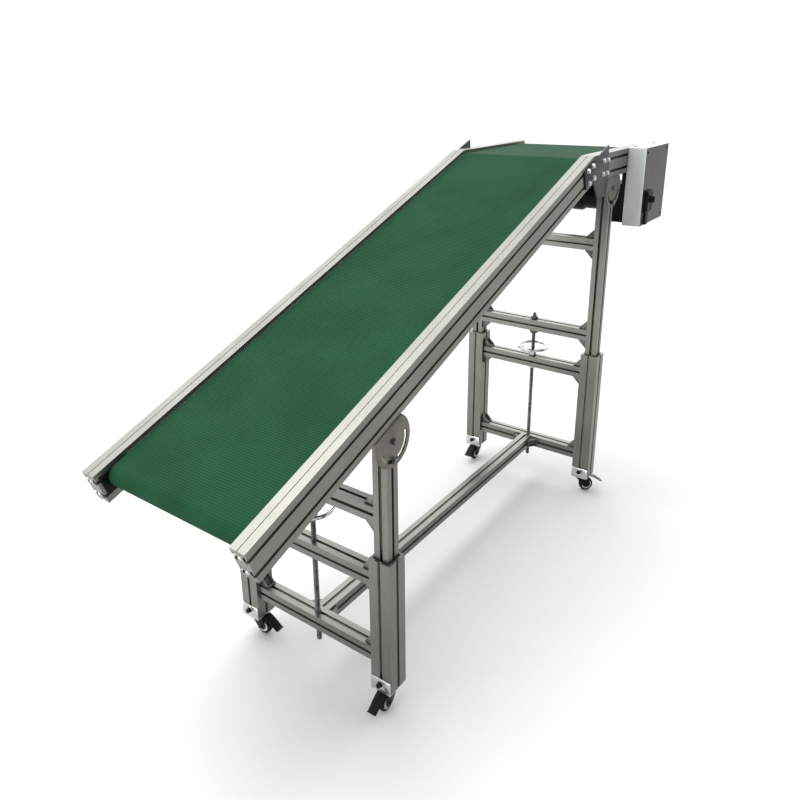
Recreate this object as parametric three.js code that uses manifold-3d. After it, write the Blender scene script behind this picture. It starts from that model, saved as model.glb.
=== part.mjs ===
// Inclined belt conveyor with a level head, on two telescoping leg frames with casters.
// Millimetres. +X runs from the low tail end to the high head end, +Y is the left side,
// +Z is up and the casters stand on Z = 0.
import * as THREE from 'three';
import { mergeVertices } from 'three/addons/utils/BufferGeometryUtils.js';
import Module from 'manifold-3d';

const wasm = await Module();
wasm.setup();

// ---------------------------------------------------------------- driving sizes
const GAP = 0.3; // air between neighbouring pieces
const TILT = THREE.MathUtils.degToRad(20); // slope of the inclined section
const KINK = { x: 465, z: 1240 }; // top edge where the slope meets the level head
const INCLINE = 1570; // rail length on the slope
const LEVEL = 455; // rail length on the level
const RAIL = { high: 80, wide: 40, outer: 245 };
const LEG = { front: -580, rear: 645, y: 225, outer: 60, bore: 47.4, inner: 40, foot: 70 };
const TOP_OF_TUBE = { front: 435, rear: 546 };
const UPPER_BEAM = { front: 547, rear: 615 };
const HEAD_BEAM = 935; // second crossbar of the taller rear frame
const MID_BEAM = { front: 370, rear: 473 };
const BOTTOM_BEAM = 152;
const POST_END = { front: 215, rear: 300 };
const HANDWHEEL = { front: 483, rear: 528, ring: 51, tube: 5.5 };
const SCREW = { r: 7, low: 83 };
const BELT = { wide: 400, thick: 2.5, depth: 8.5 };
const DRUM = { r: 25, depth: 36, tail: -1520, head: 885 };
const RETURN = { r: 12.5, depth: 60, along: [0, -720, -1380] };
const PIVOT = { below: 36, r: 62, thick: 4, bolt: 5.4, slot: 46 };
const TIE = { along: -1154, depth: 24 }; // bar under the slider bed
const GUARD = { x0: 770, x1: 1010, z0: 982, z1: 1242, deep: 60, wall: 2 };
const MOTOR = { x: 888, z: 1045 };
const SPROCKET = { head: 28, motor: 24, y: -277 };
const WHEEL = { r: 25, wide: 18, trail: 16 };
const HEADING = { fl: -88, fr: 182, rl: 180, rr: -45 }; // way each caster trails

const SLOT_40 = { open: 8.2, lip: 4.5, wide: 20, mid: 7.5, deep: 12.3, floor: 9.5 };
const SLOT_TUBE = { open: 8.2, lip: 2.2, wide: 13, mid: 4.2, deep: 5.4, floor: 10 };
const SLOT_LINE = { open: 2.4, lip: 0.7, wide: 2.4, mid: 0.8, deep: 1.2, floor: 1.6 };

const X = new THREE.Vector3(1, 0, 0);
const Y = new THREE.Vector3(0, 1, 0);
const Z = new THREE.Vector3(0, 0, 1);
const SLOPE = new THREE.Vector3(Math.cos(TILT), 0, Math.sin(TILT));
const SLOPE_UP = new THREE.Vector3(-Math.sin(TILT), 0, Math.cos(TILT));

// ---------------------------------------------------------------- finishes
const FINISH = {
  anodised: [0x8d8c86, 0.38, 0.75],
  zinc: [0xc9cbca, 0.32, 0.9],
  screw: [0x4f5356, 0.4, 0.85],
  chrome: [0xb9bcbe, 0.15, 1],
  plate: [0x3b4148, 0.5, 0.5],
  steel: [0x8a8b88, 0.42, 0.8],
  belt: [0x2f6b4a, 0.7, 0],
  guard: [0x8f9291, 0.5, 0.3],
  black: [0x1b1c1d, 0.55, 0],
  rubber: [0x202021, 0.85, 0],
  cast: [0x2a2b2c, 0.6, 0.2],
};

const group = new THREE.Group();
group.name = 'belt_conveyor';

/** Adds one named body with its own material. */
function add(name, geometry, finish) {
  const [color, roughness, metalness] = FINISH[finish];
  const mesh = new THREE.Mesh(geometry, new THREE.MeshStandardMaterial({ color, roughness, metalness }));
  mesh.name = name;
  group.add(mesh);
}

// ---------------------------------------------------------------- solid helpers
/** Turns a closed geometry into a manifold for joining and cutting. */
function solid(geometry) {
  const bare = geometry.clone();
  bare.deleteAttribute('normal');
  bare.deleteAttribute('uv');
  const merged = mergeVertices(bare, 1e-4);
  return new wasm.Manifold(new wasm.Mesh({
    numProp: 3,
    vertProperties: new Float32Array(merged.attributes.position.array),
    triVerts: new Uint32Array(merged.index.array),
  }));
}

/** Turns a manifold back into a geometry. */
function shell(manifold) {
  const mesh = manifold.getMesh();
  const geometry = new THREE.BufferGeometry();
  geometry.setAttribute('position', new THREE.BufferAttribute(new Float32Array(mesh.vertProperties), 3));
  geometry.setIndex(new THREE.BufferAttribute(new Uint32Array(mesh.triVerts), 1));
  geometry.computeVertexNormals();
  return geometry;
}

const join = (...parts) => shell(parts.map(solid).reduce((a, b) => a.add(b)));
const cut = (body, ...tools) => shell(tools.map(solid).reduce((a, b) => a.subtract(b), solid(body)));

/** Box from its two opposite corners. */
function box(x0, x1, y0, y1, z0, z1) {
  return new THREE.BoxGeometry(x1 - x0, y1 - y0, z1 - z0)
    .translate((x0 + x1) / 2, (y0 + y1) / 2, (z0 + z1) / 2);
}

/** Round bar along one of the conveyor's axes, between two stations. */
function bar(axis, r, from, to, at, sides = 16) {
  const geometry = new THREE.CylinderGeometry(r, r, to - from, sides);
  if (axis === 'x') geometry.rotateZ(-Math.PI / 2).translate((from + to) / 2, at[0], at[1]);
  if (axis === 'y') geometry.translate(at[0], (from + to) / 2, at[1]);
  if (axis === 'z') geometry.rotateX(Math.PI / 2).translate(at[0], at[1], (from + to) / 2);
  return geometry;
}

/** Body turned about Z from [radius, height] pairs given top to bottom or bottom to top. */
function turned(pairs, sides = 18) {
  const points = pairs.map(([r, h]) => new THREE.Vector2(r, h));
  return new THREE.LatheGeometry(points, sides).rotateX(Math.PI / 2);
}

/** Moves a geometry built on local axes to its place in the conveyor's frame. */
function place(geometry, across, up, along, at) {
  return geometry.applyMatrix4(new THREE.Matrix4().makeBasis(across, up, along).setPosition(...at));
}

/** Flat outline pushed through a depth. */
function pushed(shape, depth) {
  return new THREE.ExtrudeGeometry(shape, { depth, bevelEnabled: false });
}

/** Outline in the X-Z plane, pushed from y1 down to y0. */
function sidePlate(shape, y0, y1) {
  return place(pushed(shape, y1 - y0), X, Z, Y.clone().negate(), [0, y1, 0]);
}

function outline(points) {
  return new THREE.Shape(points.map(([x, y]) => new THREE.Vector2(x, y)));
}

/** Points along an arc about the origin, ends included. */
function arc(r, from, to, steps) {
  return Array.from({ length: steps + 1 }, (_, i) => {
    const angle = from + ((to - from) * i) / steps;
    return new THREE.Vector2(r * Math.cos(angle), r * Math.sin(angle));
  });
}

function roundHole(shape, x, y, r, sides = 8) {
  const ring = arc(r, 0, -Math.PI * 2, sides).slice(0, -1);
  shape.holes.push(new THREE.Path(ring.map((p) => new THREE.Vector2(p.x + x, p.y + y))));
}

// ---------------------------------------------------------------- slotted profiles
/** Corners of one undercut slot, as [along the face, into the face]. */
function notch({ open, lip, wide, mid, deep, floor }) {
  const half = [[open, 0], [open, lip], [wide, lip], [wide, mid], [floor, deep]];
  const left = half.map(([w, d]) => [-w / 2, d]);
  const right = half.map(([w, d]) => [w / 2, d]).reverse();
  return [...left, ...right];
}

/** Rectangle with undercut slots. Each slot is [side, place along that side, slot shape]. */
function profile(wide, high, slots) {
  const sides = {
    bottom: ([t, n]) => [t, -high / 2 + n],
    right: ([t, n]) => [wide / 2 - n, t],
    top: ([t, n]) => [-t, high / 2 - n],
    left: ([t, n]) => [-wide / 2 + n, -t],
  };
  const corners = {
    bottom: [-wide / 2, -high / 2], right: [wide / 2, -high / 2],
    top: [wide / 2, high / 2], left: [-wide / 2, high / 2],
  };
  const points = [];
  for (const side of Object.keys(sides)) {
    points.push(corners[side]);
    const sign = side === 'top' || side === 'left' ? -1 : 1;
    slots.filter(([name]) => name === side)
      .map(([, at, shape]) => [sign * at, shape])
      .sort((a, b) => a[0] - b[0])
      .forEach(([at, shape]) => notch(shape).forEach(([t, n]) => points.push(sides[side]([at + t, n]))));
  }
  return outline(points);
}

const SIDES = ['bottom', 'right', 'top', 'left'];

function squareProfile() {
  const shape = profile(40, 40, SIDES.map((side) => [side, 0, SLOT_40]));
  roundHole(shape, 0, 0, 3.4);
  return shape;
}

function tubeProfile() {
  const shape = profile(LEG.outer, LEG.outer, SIDES.map((side) => [side, 0, SLOT_TUBE]));
  const h = LEG.bore / 2;
  const bore = [[-h, -h], [-h, h], [h, h], [h, -h]];
  shape.holes.push(new THREE.Path(bore.map(([x, y]) => new THREE.Vector2(x, y))));
  return shape;
}

function railProfile() {
  const shape = profile(RAIL.wide, RAIL.high, [
    ['left', 20, SLOT_40], ['left', -20, SLOT_40], ['right', 20, SLOT_40], ['right', -20, SLOT_40],
    ['bottom', 0, SLOT_TUBE], ['top', 0, SLOT_LINE],
  ]);
  roundHole(shape, 0, 20, 3.4);
  roundHole(shape, 0, -20, 3.4);
  return shape;
}

const upright = (shape, x, y, z0, z1) => place(pushed(shape, z1 - z0), X, Y, Z, [x, y, z0]);
const crossbar = (shape, x, z, y0, y1) => place(pushed(shape, y1 - y0), X.clone().negate(), Z, Y, [x, y0, z]);

/** Point on the bed: distance past the kink (negative on the slope), depth under the rail top. */
function bed(along, depth) {
  if (along > 0) return [KINK.x + along, KINK.z - depth];
  return [
    KINK.x + along * SLOPE.x - depth * SLOPE_UP.x,
    KINK.z + along * SLOPE.z - depth * SLOPE_UP.z,
  ];
}

/** Point on the plane that halves the kink. */
function onMitre(depth) {
  const reach = depth / Math.cos(TILT / 2);
  return [KINK.x + reach * Math.sin(TILT / 2), KINK.z - reach * Math.cos(TILT / 2)];
}

// ---------------------------------------------------------------- wheeled base
for (const [end, x] of [['f', LEG.front], ['r', LEG.rear]]) {
  const key = end === 'f' ? 'front' : 'rear';
  const inside = LEG.y - LEG.outer / 2 - GAP;
  const screwHole = (z) => bar('z', SCREW.r + 1.8, z - 30, z + 30, [x, 0]);
  for (const [side, y] of [['l', LEG.y], ['r', -LEG.y]]) {
    add(`outer_leg_${end}${side}`, upright(tubeProfile(), x, y, LEG.foot, TOP_OF_TUBE[key]), 'anodised');
  }
  for (const [name, z] of [['mid_beam', MID_BEAM[key]], ['bottom_beam', BOTTOM_BEAM]]) {
    add(`${name}_${end}`, cut(crossbar(squareProfile(), x, z, -inside, inside), screwHole(z)), 'anodised');
  }
}
const between = 20 + GAP;
add('long_beam', place(
  pushed(squareProfile(), LEG.rear - LEG.front - 2 * between), Y, Z, X, [LEG.front + between, 0, BOTTOM_BEAM],
), 'anodised');

for (const [key, heading] of Object.entries(HEADING)) {
  const x = key[0] === 'f' ? LEG.front : LEG.rear;
  const y = key[1] === 'l' ? LEG.y : -LEG.y;
  const put = (geometry) => geometry.rotateZ(THREE.MathUtils.degToRad(heading)).translate(x, y, 0);

  const face = -LEG.outer / 2 - GAP;
  const angle = outline([[face - 4, 65], [32, 65], [32, LEG.foot - GAP], [face, LEG.foot - GAP],
    [face, 104], [face - 4, 104]]);
  add(`caster_plate_${key}`, sidePlate(angle, -29, 29).translate(x, y, 0), 'zinc');

  const arm = outline([[-19, 57], [-19, 48], [6, 17], [26, 17], [28, 30], [24, 57]]);
  add(`caster_fork_${key}`, put(join(
    turned([[0, 54], [21, 54], [23, 57], [23, 65 - GAP], [0, 65 - GAP]]),
    sidePlate(arm, -14, -11), sidePlate(arm, 11, 14),
    bar('y', 4, -15.5, 15.5, [WHEEL.trail, WHEEL.r]),
    box(-19, 24, -14, 14, 53, 57),
  )), 'black');

  const half = WHEEL.wide / 2;
  const tyre = [[4.6, -half], [18, -half], [19, -half + 1.5], [22.5, -half + 1], [25, -half + 4],
    [25, half - 4], [22.5, half - 1], [19, half - 1.5], [18, half], [4.6, half], [4.6, -half]];
  add(`caster_wheel_${key}`, put(turned(tyre, 24).rotateX(-Math.PI / 2)
    .translate(WHEEL.trail, 0, WHEEL.r)), 'rubber');

  const tread = outline([
    [25.5, 61], [30, 62], [52, 50], [72, 35.5], [76, 36], [77, 33.5], [71, 32], [50, 47], [30, 57],
  ]);
  add(`caster_pedal_${key}`, put(sidePlate(tread, -13, 13)), key === 'rr' ? 'steel' : 'black');
}

// ---------------------------------------------------------------- lifting frames
/** Handwheel with four dished spokes; its hub hangs below the ring. */
function handwheel(z, x) {
  const { ring, tube } = HANDWHEEL;
  const spokes = [0, 1, 2, 3].map((i) => new THREE.CylinderGeometry(3.2, 4.6, ring - 6, 6)
    .rotateZ(-Math.PI / 2).rotateY(-0.42).translate(ring / 2 + 4, 0, -11)
    .rotateZ((i * Math.PI) / 2 + 0.4));
  const hub = turned([[0, -34], [12, -34], [13.5, -32], [13.5, -12], [10, -8], [0, -8]]);
  const wheel = join(new THREE.TorusGeometry(ring, tube, 8, 24), hub, ...spokes);
  return cut(wheel, bar('z', SCREW.r + 0.4, -60, 40, [0, 0])).translate(x, 0, z);
}

for (const [end, x] of [['f', LEG.front], ['r', LEG.rear]]) {
  const key = end === 'f' ? 'front' : 'rear';
  const beam = UPPER_BEAM[key];
  const pivot = pivotPoint(key);
  const inside = LEG.y - LEG.inner / 2 - GAP;
  for (const [side, y] of [['l', LEG.y], ['r', -LEG.y]]) {
    add(`inner_post_${end}${side}`, upright(squareProfile(), x, y, POST_END[key], pivot[1] + 24), 'anodised');
  }
  add(`upper_beam_${end}`, cut(crossbar(squareProfile(), x, beam, -inside, inside),
    bar('z', SCREW.r + 0.8, beam - 30, beam + 30, [x, 0])), 'anodised');
  add(`leadscrew_${end}`, turned([
    [0, SCREW.low], [SCREW.r - 2, SCREW.low], [SCREW.r, SCREW.low + 2], [SCREW.r, beam - 32],
    [15, beam - 32], [15, beam - 20.5], [SCREW.r, beam - 20.5], [SCREW.r, beam + 20.5],
    [13, beam + 20.5], [13, beam + 29], [SCREW.r, beam + 30], [SCREW.r, beam + 38], [0, beam + 46],
  ], 16).translate(x, 0, 0), 'screw');
  add(`handwheel_${end}`, handwheel(HANDWHEEL[key], x), 'chrome');
  if (key === 'rear') {
    add('head_beam_r', crossbar(squareProfile(), x, HEAD_BEAM, -inside, inside), 'anodised');
  }
}

/** Centre of the pivot bolts of one leg frame, as [x, z]. */
function pivotPoint(key) {
  const depth = RAIL.high + PIVOT.below;
  if (key === 'rear') return [LEG.rear, KINK.z - depth];
  const along = (LEG.front - KINK.x + depth * SLOPE_UP.x) / SLOPE.x;
  return bed(along, depth);
}

// ---------------------------------------------------------------- bed
for (const [side, sign] of [['l', 1], ['r', -1]]) {
  const y = sign * (RAIL.outer - RAIL.wide / 2);
  const slant = Math.tan(TILT / 2);
  const drum = bed(DRUM.tail, DRUM.depth);
  const inner = RAIL.outer - RAIL.wide;

  const incline = pushed(railProfile(), INCLINE).translate(0, -RAIL.high / 2, -INCLINE);
  mitre(incline, 0, (depth) => -depth * slant - GAP / 2);
  place(incline, Y, SLOPE_UP, SLOPE, [KINK.x, y, KINK.z]);
  const socket = [sign * (inner - 5), sign * (inner + 14)].sort((a, b) => a - b);
  add(`rail_incline_${side}`, cut(incline, bar('y', 8.2, socket[0], socket[1], drum)), 'anodised');

  const level = pushed(railProfile(), LEVEL).translate(0, -RAIL.high / 2, 0);
  mitre(level, 0, (depth) => depth * slant + GAP / 2);
  place(level, Y, Z, X, [KINK.x, y, KINK.z]);
  const shaftHole = bar('y', 10.2, y - 25, y + 25, [DRUM.head, KINK.z - DRUM.depth]);
  add(`rail_level_${side}`, cut(level, shaftHole), 'anodised');

  const face = [sign * (RAIL.outer + GAP), sign * (RAIL.outer + GAP + 4)].sort((a, b) => a - b);
  const gusset = outline([
    bed(-84, 70), bed(-26, 74), [508, 1107], [578, 1107], [578, 1124], [590, 1172], [574, 1266], bed(-84, 12),
  ]);
  for (const along of [-60, -24, 72, 106]) {
    for (const depth of [20, 60]) roundHole(gusset, ...bed(along, depth), 4.4);
  }
  add(`kink_plate_${side}`, sidePlate(gusset, ...face), 'plate');
}

/** Slides the end vertices at station z onto the mitre plane. */
function mitre(geometry, z, offset) {
  const position = geometry.attributes.position;
  for (let i = 0; i < position.count; i += 1) {
    if (Math.abs(position.getZ(i) - z) < 1e-6) position.setZ(i, z + offset(-position.getY(i)));
  }
}

/** Half-moon plate with a pivot hole, an arc slot and a foot under the rail. */
function pivotPlate(key, sign) {
  const top = PIVOT.below - GAP;
  const start = Math.asin(top / PIVOT.r);
  const shape = new THREE.Shape(arc(PIVOT.r, -Math.PI - start, start, 20));
  roundHole(shape, 0, 0, PIVOT.bolt, 20);
  const [from, to] = [-174, -6].map(THREE.MathUtils.degToRad);
  shape.holes.push(new THREE.Path([
    ...arc(PIVOT.slot + 4.5, from, to, 12), ...arc(PIVOT.slot - 4.5, to, from, 12),
  ]));
  const half = PIVOT.r * Math.cos(start);
  const outer = RAIL.outer + GAP;
  const plate = sidePlate(shape, outer, outer + PIVOT.thick);
  const foot = box(-half, half, RAIL.outer - 36, outer + 1, top - 3, top);
  const body = join(plate, foot);
  if (sign < 0) {
    body.rotateZ(Math.PI);
  }
  if (key === 'front') body.rotateY(-TILT);
  const [x, z] = pivotPoint(key);
  return body.translate(x, 0, z);
}

for (const [end, key] of [['f', 'front'], ['r', 'rear']]) {
  for (const [side, sign] of [['l', 1], ['r', -1]]) {
    add(`pivot_plate_${end}${side}`, pivotPlate(key, sign), 'steel');
  }
}

// ---------------------------------------------------------------- belt path
/** Walks clockwise round the circles; inside ones have side 1, outside ones -1. */
function beltPath(circles, thick) {
  const runs = circles.map((a, i) => {
    const b = circles[(i + 1) % circles.length];
    const [dx, dz] = [b.x - a.x, b.z - a.z];
    const k = b.side * (b.r + thick / 2) - a.side * (a.r + thick / 2);
    return Math.atan2(dz, dx) - Math.acos(k / Math.hypot(dx, dz));
  });
  return circles.flatMap((c, i) => {
    const enter = runs[(i + circles.length - 1) % circles.length];
    let turn = runs[i] - enter;
    while (c.side * turn > 1e-6) turn -= c.side * 2 * Math.PI;
    while (c.side * turn < -2 * Math.PI) turn += c.side * 2 * Math.PI;
    const steps = Math.max(1, Math.ceil(Math.abs(turn) / 0.24));
    return Array.from({ length: steps + 1 }, (_, j) => {
      const phi = enter + (turn * j) / steps;
      const [nx, nz] = [Math.cos(phi), Math.sin(phi)];
      const reach = c.side * (c.r + thick / 2);
      return { x: c.x - nx * reach, z: c.z - nz * reach, nx, nz };
    });
  });
}

/** Endless band of one thickness along a path, between two Y stations. */
function band(path, thick, y0, y1) {
  const side = (sign) => path.map((p) => [p.x + sign * p.nx * (thick / 2), p.z + sign * p.nz * (thick / 2)]);
  const shape = outline(side(-1).reverse());
  shape.holes.push(new THREE.Path(side(1).map(([x, z]) => new THREE.Vector2(x, z))));
  return sidePlate(shape, y0, y1);
}

const circle = ([x, z], r, side = 1) => ({ x, z, r, side });
const CREST = 60;
const under = BELT.depth + BELT.thick;
const tailAxis = bed(DRUM.tail, DRUM.depth);
const headAxis = [DRUM.head, KINK.z - DRUM.depth];
const crestAxis = onMitre(under + CREST);
const returnAxis = (along) => (along < 0 ? bed(along, RETURN.depth) : onMitre(RETURN.depth));
const returnAxes = RETURN.along.map(returnAxis);
add('belt', band(beltPath([
  circle(tailAxis, DRUM.r), circle(crestAxis, CREST), circle(headAxis, DRUM.r),
  ...returnAxes.map((at) => circle(at, RETURN.r, -1)),
], BELT.thick), BELT.thick, -BELT.wide / 2, BELT.wide / 2), 'belt');

/** Bent sheet that carries the belt, following the slope, the crest and the level. */
function sliderOutline() {
  const row = (depth) => {
    const r = CREST - (depth - under);
    const arc = [0, 1, 2, 3, 4].map((i) => {
      const phi = Math.PI / 2 + TILT - (i * TILT) / 4;
      return [crestAxis[0] + r * Math.cos(phi), crestAxis[1] + r * Math.sin(phi)];
    });
    return [bed(DRUM.tail + 34, depth), ...arc, [DRUM.head - 34, KINK.z - depth]];
  };
  return outline([...row(under + GAP), ...row(under + GAP + 2).reverse()]);
}
const inner = RAIL.outer - RAIL.wide - GAP;
add('slider_bed', sidePlate(sliderOutline(), -inner, inner), 'steel');

const [tieX, tieZ] = bed(TIE.along, TIE.depth);
add('cross_tie', place(
  pushed(profile(40, 20, [['bottom', 0, SLOT_TUBE]]), 2 * inner), SLOPE.clone().negate(), SLOPE_UP, Y,
  [tieX, -inner, tieZ],
), 'anodised');

/** Roller about Y from [radius, y] pairs. */
function roller(pairs, [x, z], sides = 24) {
  return turned(pairs.map(([r, y]) => [r, y]), sides).rotateX(-Math.PI / 2).translate(x, 0, z);
}
const drum = DRUM.r - GAP;
const face = BELT.wide / 2 + 1;
add('tail_roller', roller([[0, -217], [7.5, -217], [7.5, -face], [drum, -face], [drum, face], [7.5, face],
  [7.5, 217], [0, 217]], tailAxis), 'steel');
const { head: rs, y: ys } = SPROCKET;
add('head_roller', roller([
  [0, ys - 10], [9, ys - 10], [9, ys - 7], [15, ys - 7], [15, ys - 3], [rs - 4, ys - 3],
  [rs, ys - 1.2], [rs, ys + 1.2], [rs - 4, ys + 3], [16, ys + 3], [16, ys + 18], [9, ys + 18], [9, -face],
  [drum, -face], [drum, face], [9, face], [9, 243], [0, 243],
], headAxis), 'steel');
returnAxes.forEach((at, i) => {
  const r = RETURN.r - GAP;
  add(`return_roller_${i + 1}`, roller([
    [0, -214], [3.8, -214], [3.8, -face], [r, -face], [r, face], [3.8, face], [3.8, 214], [0, 214],
  ], at, 16), 'steel');
});

// ---------------------------------------------------------------- drive
const motorAxis = [MOTOR.x, MOTOR.z];
const wall = GUARD.wall;
const back = -RAIL.outer - GAP;
add('guard_cover', cut(
  box(GUARD.x0, GUARD.x1, back - GUARD.deep, back, GUARD.z0, GUARD.z1),
  box(
    GUARD.x0 + wall, GUARD.x1 - wall, back - GUARD.deep + wall, back - wall, GUARD.z0 + wall, GUARD.z1 - wall,
  ),
  bar('y', 20, back - 20, back + 5, headAxis), bar('y', 20, back - 20, back + 5, motorAxis),
), 'guard');

const housing = cut(join(
  box(832, 944, -242, -150, 978, 1112),
  box(832, 944, -242, -209, 1105, KINK.z - RAIL.high - GAP),
  bar('y', 47, -152, -62, [MOTOR.x, 1052], 24), bar('y', 50, -64, -20, [MOTOR.x, 1052], 24),
  box(860, 916, -140, -80, 1090, 1122),
), bar('y', 10, -250, -205, motorAxis));
add('gearmotor', housing, 'cast');

const { motor: rm } = SPROCKET;
add('motor_sprocket', roller([
  [0, ys - 10], [9, ys - 10], [9, ys - 7], [14, ys - 7], [14, ys - 3], [rm - 4, ys - 3], [rm, ys - 1.2],
  [rm, ys + 1.2], [rm - 4, ys + 3], [14, ys + 3], [14, ys + 18], [9, ys + 18], [9, -210], [0, -210],
], motorAxis), 'steel');
const loop = beltPath([circle(headAxis, rs + 0.5), circle(motorAxis, rm + 0.5)], 5);
add('drive_chain', band(loop, 5, ys - 4, ys + 4), 'screw');

const front = back - GUARD.deep - GAP;
add('switch_body', join(
  box(792, 850, front - 8, front, 1026, 1100), box(797, 845, front - 13, front - 7, 1031, 1095),
), 'black');
add('switch_knob', join(
  bar('y', 12, front - 21, front - 13 - GAP, [821, 1070]),
  box(817.5, 824.5, front - 27, front - 20, 1058, 1082),
), 'black');

// ---------------------------------------------------------------- origin under the middle
const extent = new THREE.Box3().setFromObject(group);
const middle = extent.getCenter(new THREE.Vector3());
group.children.forEach((mesh) => mesh.geometry.translate(-middle.x, -middle.y, -extent.min.z));

export default group;
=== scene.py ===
"""Looks of an inclined belt conveyor with a level head, on two telescoping leg frames with casters.

Sizes are millimetres in the conveyor's own axes: +X runs from the low tail to the high head, +Y is the
left side, +Z is up, and Y = 0 is the middle of the belt. at() turns them into the frame's metres.
"""

import logging  # noqa: E402
import math  # noqa: E402
from collections.abc import Callable, Iterator, Sequence  # noqa: E402
from contextlib import contextmanager  # noqa: E402
from dataclasses import dataclass, field  # noqa: E402
from enum import Enum  # noqa: E402

import bmesh  # noqa: E402
import bpy  # noqa: E402
from mathutils import Matrix, Vector  # noqa: E402


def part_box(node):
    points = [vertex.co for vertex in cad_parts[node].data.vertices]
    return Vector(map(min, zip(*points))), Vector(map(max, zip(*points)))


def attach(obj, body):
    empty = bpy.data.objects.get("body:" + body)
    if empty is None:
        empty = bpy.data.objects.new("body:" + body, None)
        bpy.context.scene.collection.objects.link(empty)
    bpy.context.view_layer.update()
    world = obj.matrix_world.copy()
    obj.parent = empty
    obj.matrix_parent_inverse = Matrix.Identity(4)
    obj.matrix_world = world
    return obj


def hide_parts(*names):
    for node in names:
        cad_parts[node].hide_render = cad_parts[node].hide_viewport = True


LOG = logging.getLogger("conveyor")
MM = 0.001

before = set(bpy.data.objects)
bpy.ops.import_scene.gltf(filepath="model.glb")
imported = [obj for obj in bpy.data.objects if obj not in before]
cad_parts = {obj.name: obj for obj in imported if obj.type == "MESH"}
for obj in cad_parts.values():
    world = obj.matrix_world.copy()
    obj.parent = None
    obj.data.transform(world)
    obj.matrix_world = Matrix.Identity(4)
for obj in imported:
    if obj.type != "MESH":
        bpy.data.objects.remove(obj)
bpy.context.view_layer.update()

Triple = tuple[float, float, float]
Pair = tuple[float, float]
Spot = tuple[Sequence[float], Vector]  # base point and outward axis of a fastener


# ---------------------------------------------------------------- places
def middle_of(node: str) -> Vector:
    """Returns the centre of a node's box, in metres."""
    low, high = (Vector(corner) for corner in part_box(node))
    return (low + high) / 2


LEG_X = {"f": -580.0, "r": 645.0}
LEG_Y = {"l": 225.0, "r": -225.0}
TILT = math.radians(20)
KINK: Pair = (465.0, 1240.0)
INCLINE, LEVEL = 1570.0, 455.0  # lengths of the rails before and after the kink
SLOPE = Vector((math.cos(TILT), 0, math.sin(TILT)))
SLOPE_UP = Vector((-math.sin(TILT), 0, math.cos(TILT)))
X, Y, Z = Vector((1, 0, 0)), Vector((0, 1, 0)), Vector((0, 0, 1))
HOME = Vector((middle_of("long_beam").x - 32.5 * MM, middle_of("belt").y, 0))
SIDES = {"l": 1, "r": -1}  # sign of Y on each side
BEAM_HALF = 20.0  # half the side of a 40 mm bar
RAIL_OUTER = 245.0
RAIL_HIGH = 80.0
AIR = 0.3  # gap between neighbouring pieces
RAIL_INNER = RAIL_OUTER - 40.0 - AIR
FLAT = math.radians(35)  # faces that meet at less than this are shaded as one surface
TAIL_AXLE: Pair = (-1520.0, 36.0)  # along the bed from the kink, and under the rails' top
BEAM_HEIGHT = {  # middle of each crossbar, in the front and rear frames
    "f": {"bottom": 152.0, "mid": 370.0, "upper": 547.0},
    "r": {"bottom": 152.0, "mid": 473.0, "upper": 615.0, "head": 935.0},
}


def at(point: Sequence[float]) -> Vector:
    """Returns a point given in millimetres as metres in the frame."""
    return HOME + Vector(point) * MM


def bed_point(along: float, depth: float) -> Pair:
    """Finds a point of the bed's side view.

    Args:
        along: distance past the kink, negative on the slope.
        depth: distance under the rails' top face.

    Returns:
        The X and Z of the point.
    """
    if along > 0:
        return KINK[0] + along, KINK[1] - depth
    spot = Vector((KINK[0], 0, KINK[1])) + SLOPE * along - SLOPE_UP * depth
    return spot.x, spot.z


# ---------------------------------------------------------------- modelling by operators
def wake(piece: bpy.types.Object) -> None:
    """Makes one object the only selected and active one.

    Args:
        piece: the object to select.
    """
    bpy.ops.object.select_all(action="DESELECT")
    piece.select_set(True)
    bpy.context.view_layer.objects.active = piece


@contextmanager
def editing(piece: bpy.types.Object, domain: str = "FACE") -> Iterator[None]:
    """Opens one object in edit mode with nothing selected, and closes it again.

    Args:
        piece: the object to edit.
        domain: VERT, EDGE or FACE.

    Returns:
        A context that is in edit mode while it is open.
    """
    wake(piece)
    bpy.ops.object.mode_set(mode="EDIT")
    bpy.ops.mesh.select_mode(type=domain)
    bpy.ops.mesh.select_all(action="DESELECT")
    yield
    bpy.ops.object.mode_set(mode="OBJECT")


def choose_faces(piece: bpy.types.Object, test: Callable[[Vector, Vector], bool]) -> None:
    """Selects the faces of the object in edit mode that pass a test.

    Args:
        piece: the object being edited.
        test: takes a face's middle and its normal.
    """
    bpy.ops.mesh.select_all(action="DESELECT")
    shape = bmesh.from_edit_mesh(piece.data)
    for face in shape.faces:
        face.select_set(test(face.calc_center_median(), face.normal))
    bmesh.update_edit_mesh(piece.data)


def named(name: str) -> bpy.types.Object:
    """Names the active object and its mesh, with its place moved into the mesh.

    Args:
        name: the object's new name.

    Returns:
        The active object.
    """
    piece = bpy.context.object
    bpy.ops.object.transform_apply(location=True, rotation=True, scale=True)
    piece.name = piece.data.name = name
    return piece


def block(name: str, low: Triple, high: Triple) -> bpy.types.Object:
    """Adds a box between two corners in millimetres.

    Args:
        name: the new object's name.
        low: its lowest corner.
        high: its highest corner.

    Returns:
        The new object.
    """
    bpy.ops.object.select_all(action="DESELECT")
    size = (Vector(high) - Vector(low)) * MM
    bpy.ops.mesh.primitive_cube_add(size=1, location=(at(low) + at(high)) / 2, scale=size)
    return named(name)


def push(step: Sequence[float]) -> None:
    """Extrudes what is selected by a step in millimetres."""
    bpy.ops.mesh.extrude_region_move(TRANSFORM_OT_translate={"value": Vector(step) * MM})


def squeeze(scale: Triple, centre: Sequence[float]) -> None:
    """Scales what is selected about a point in millimetres."""
    bpy.ops.transform.resize(value=scale, center_override=at(centre))


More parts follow.
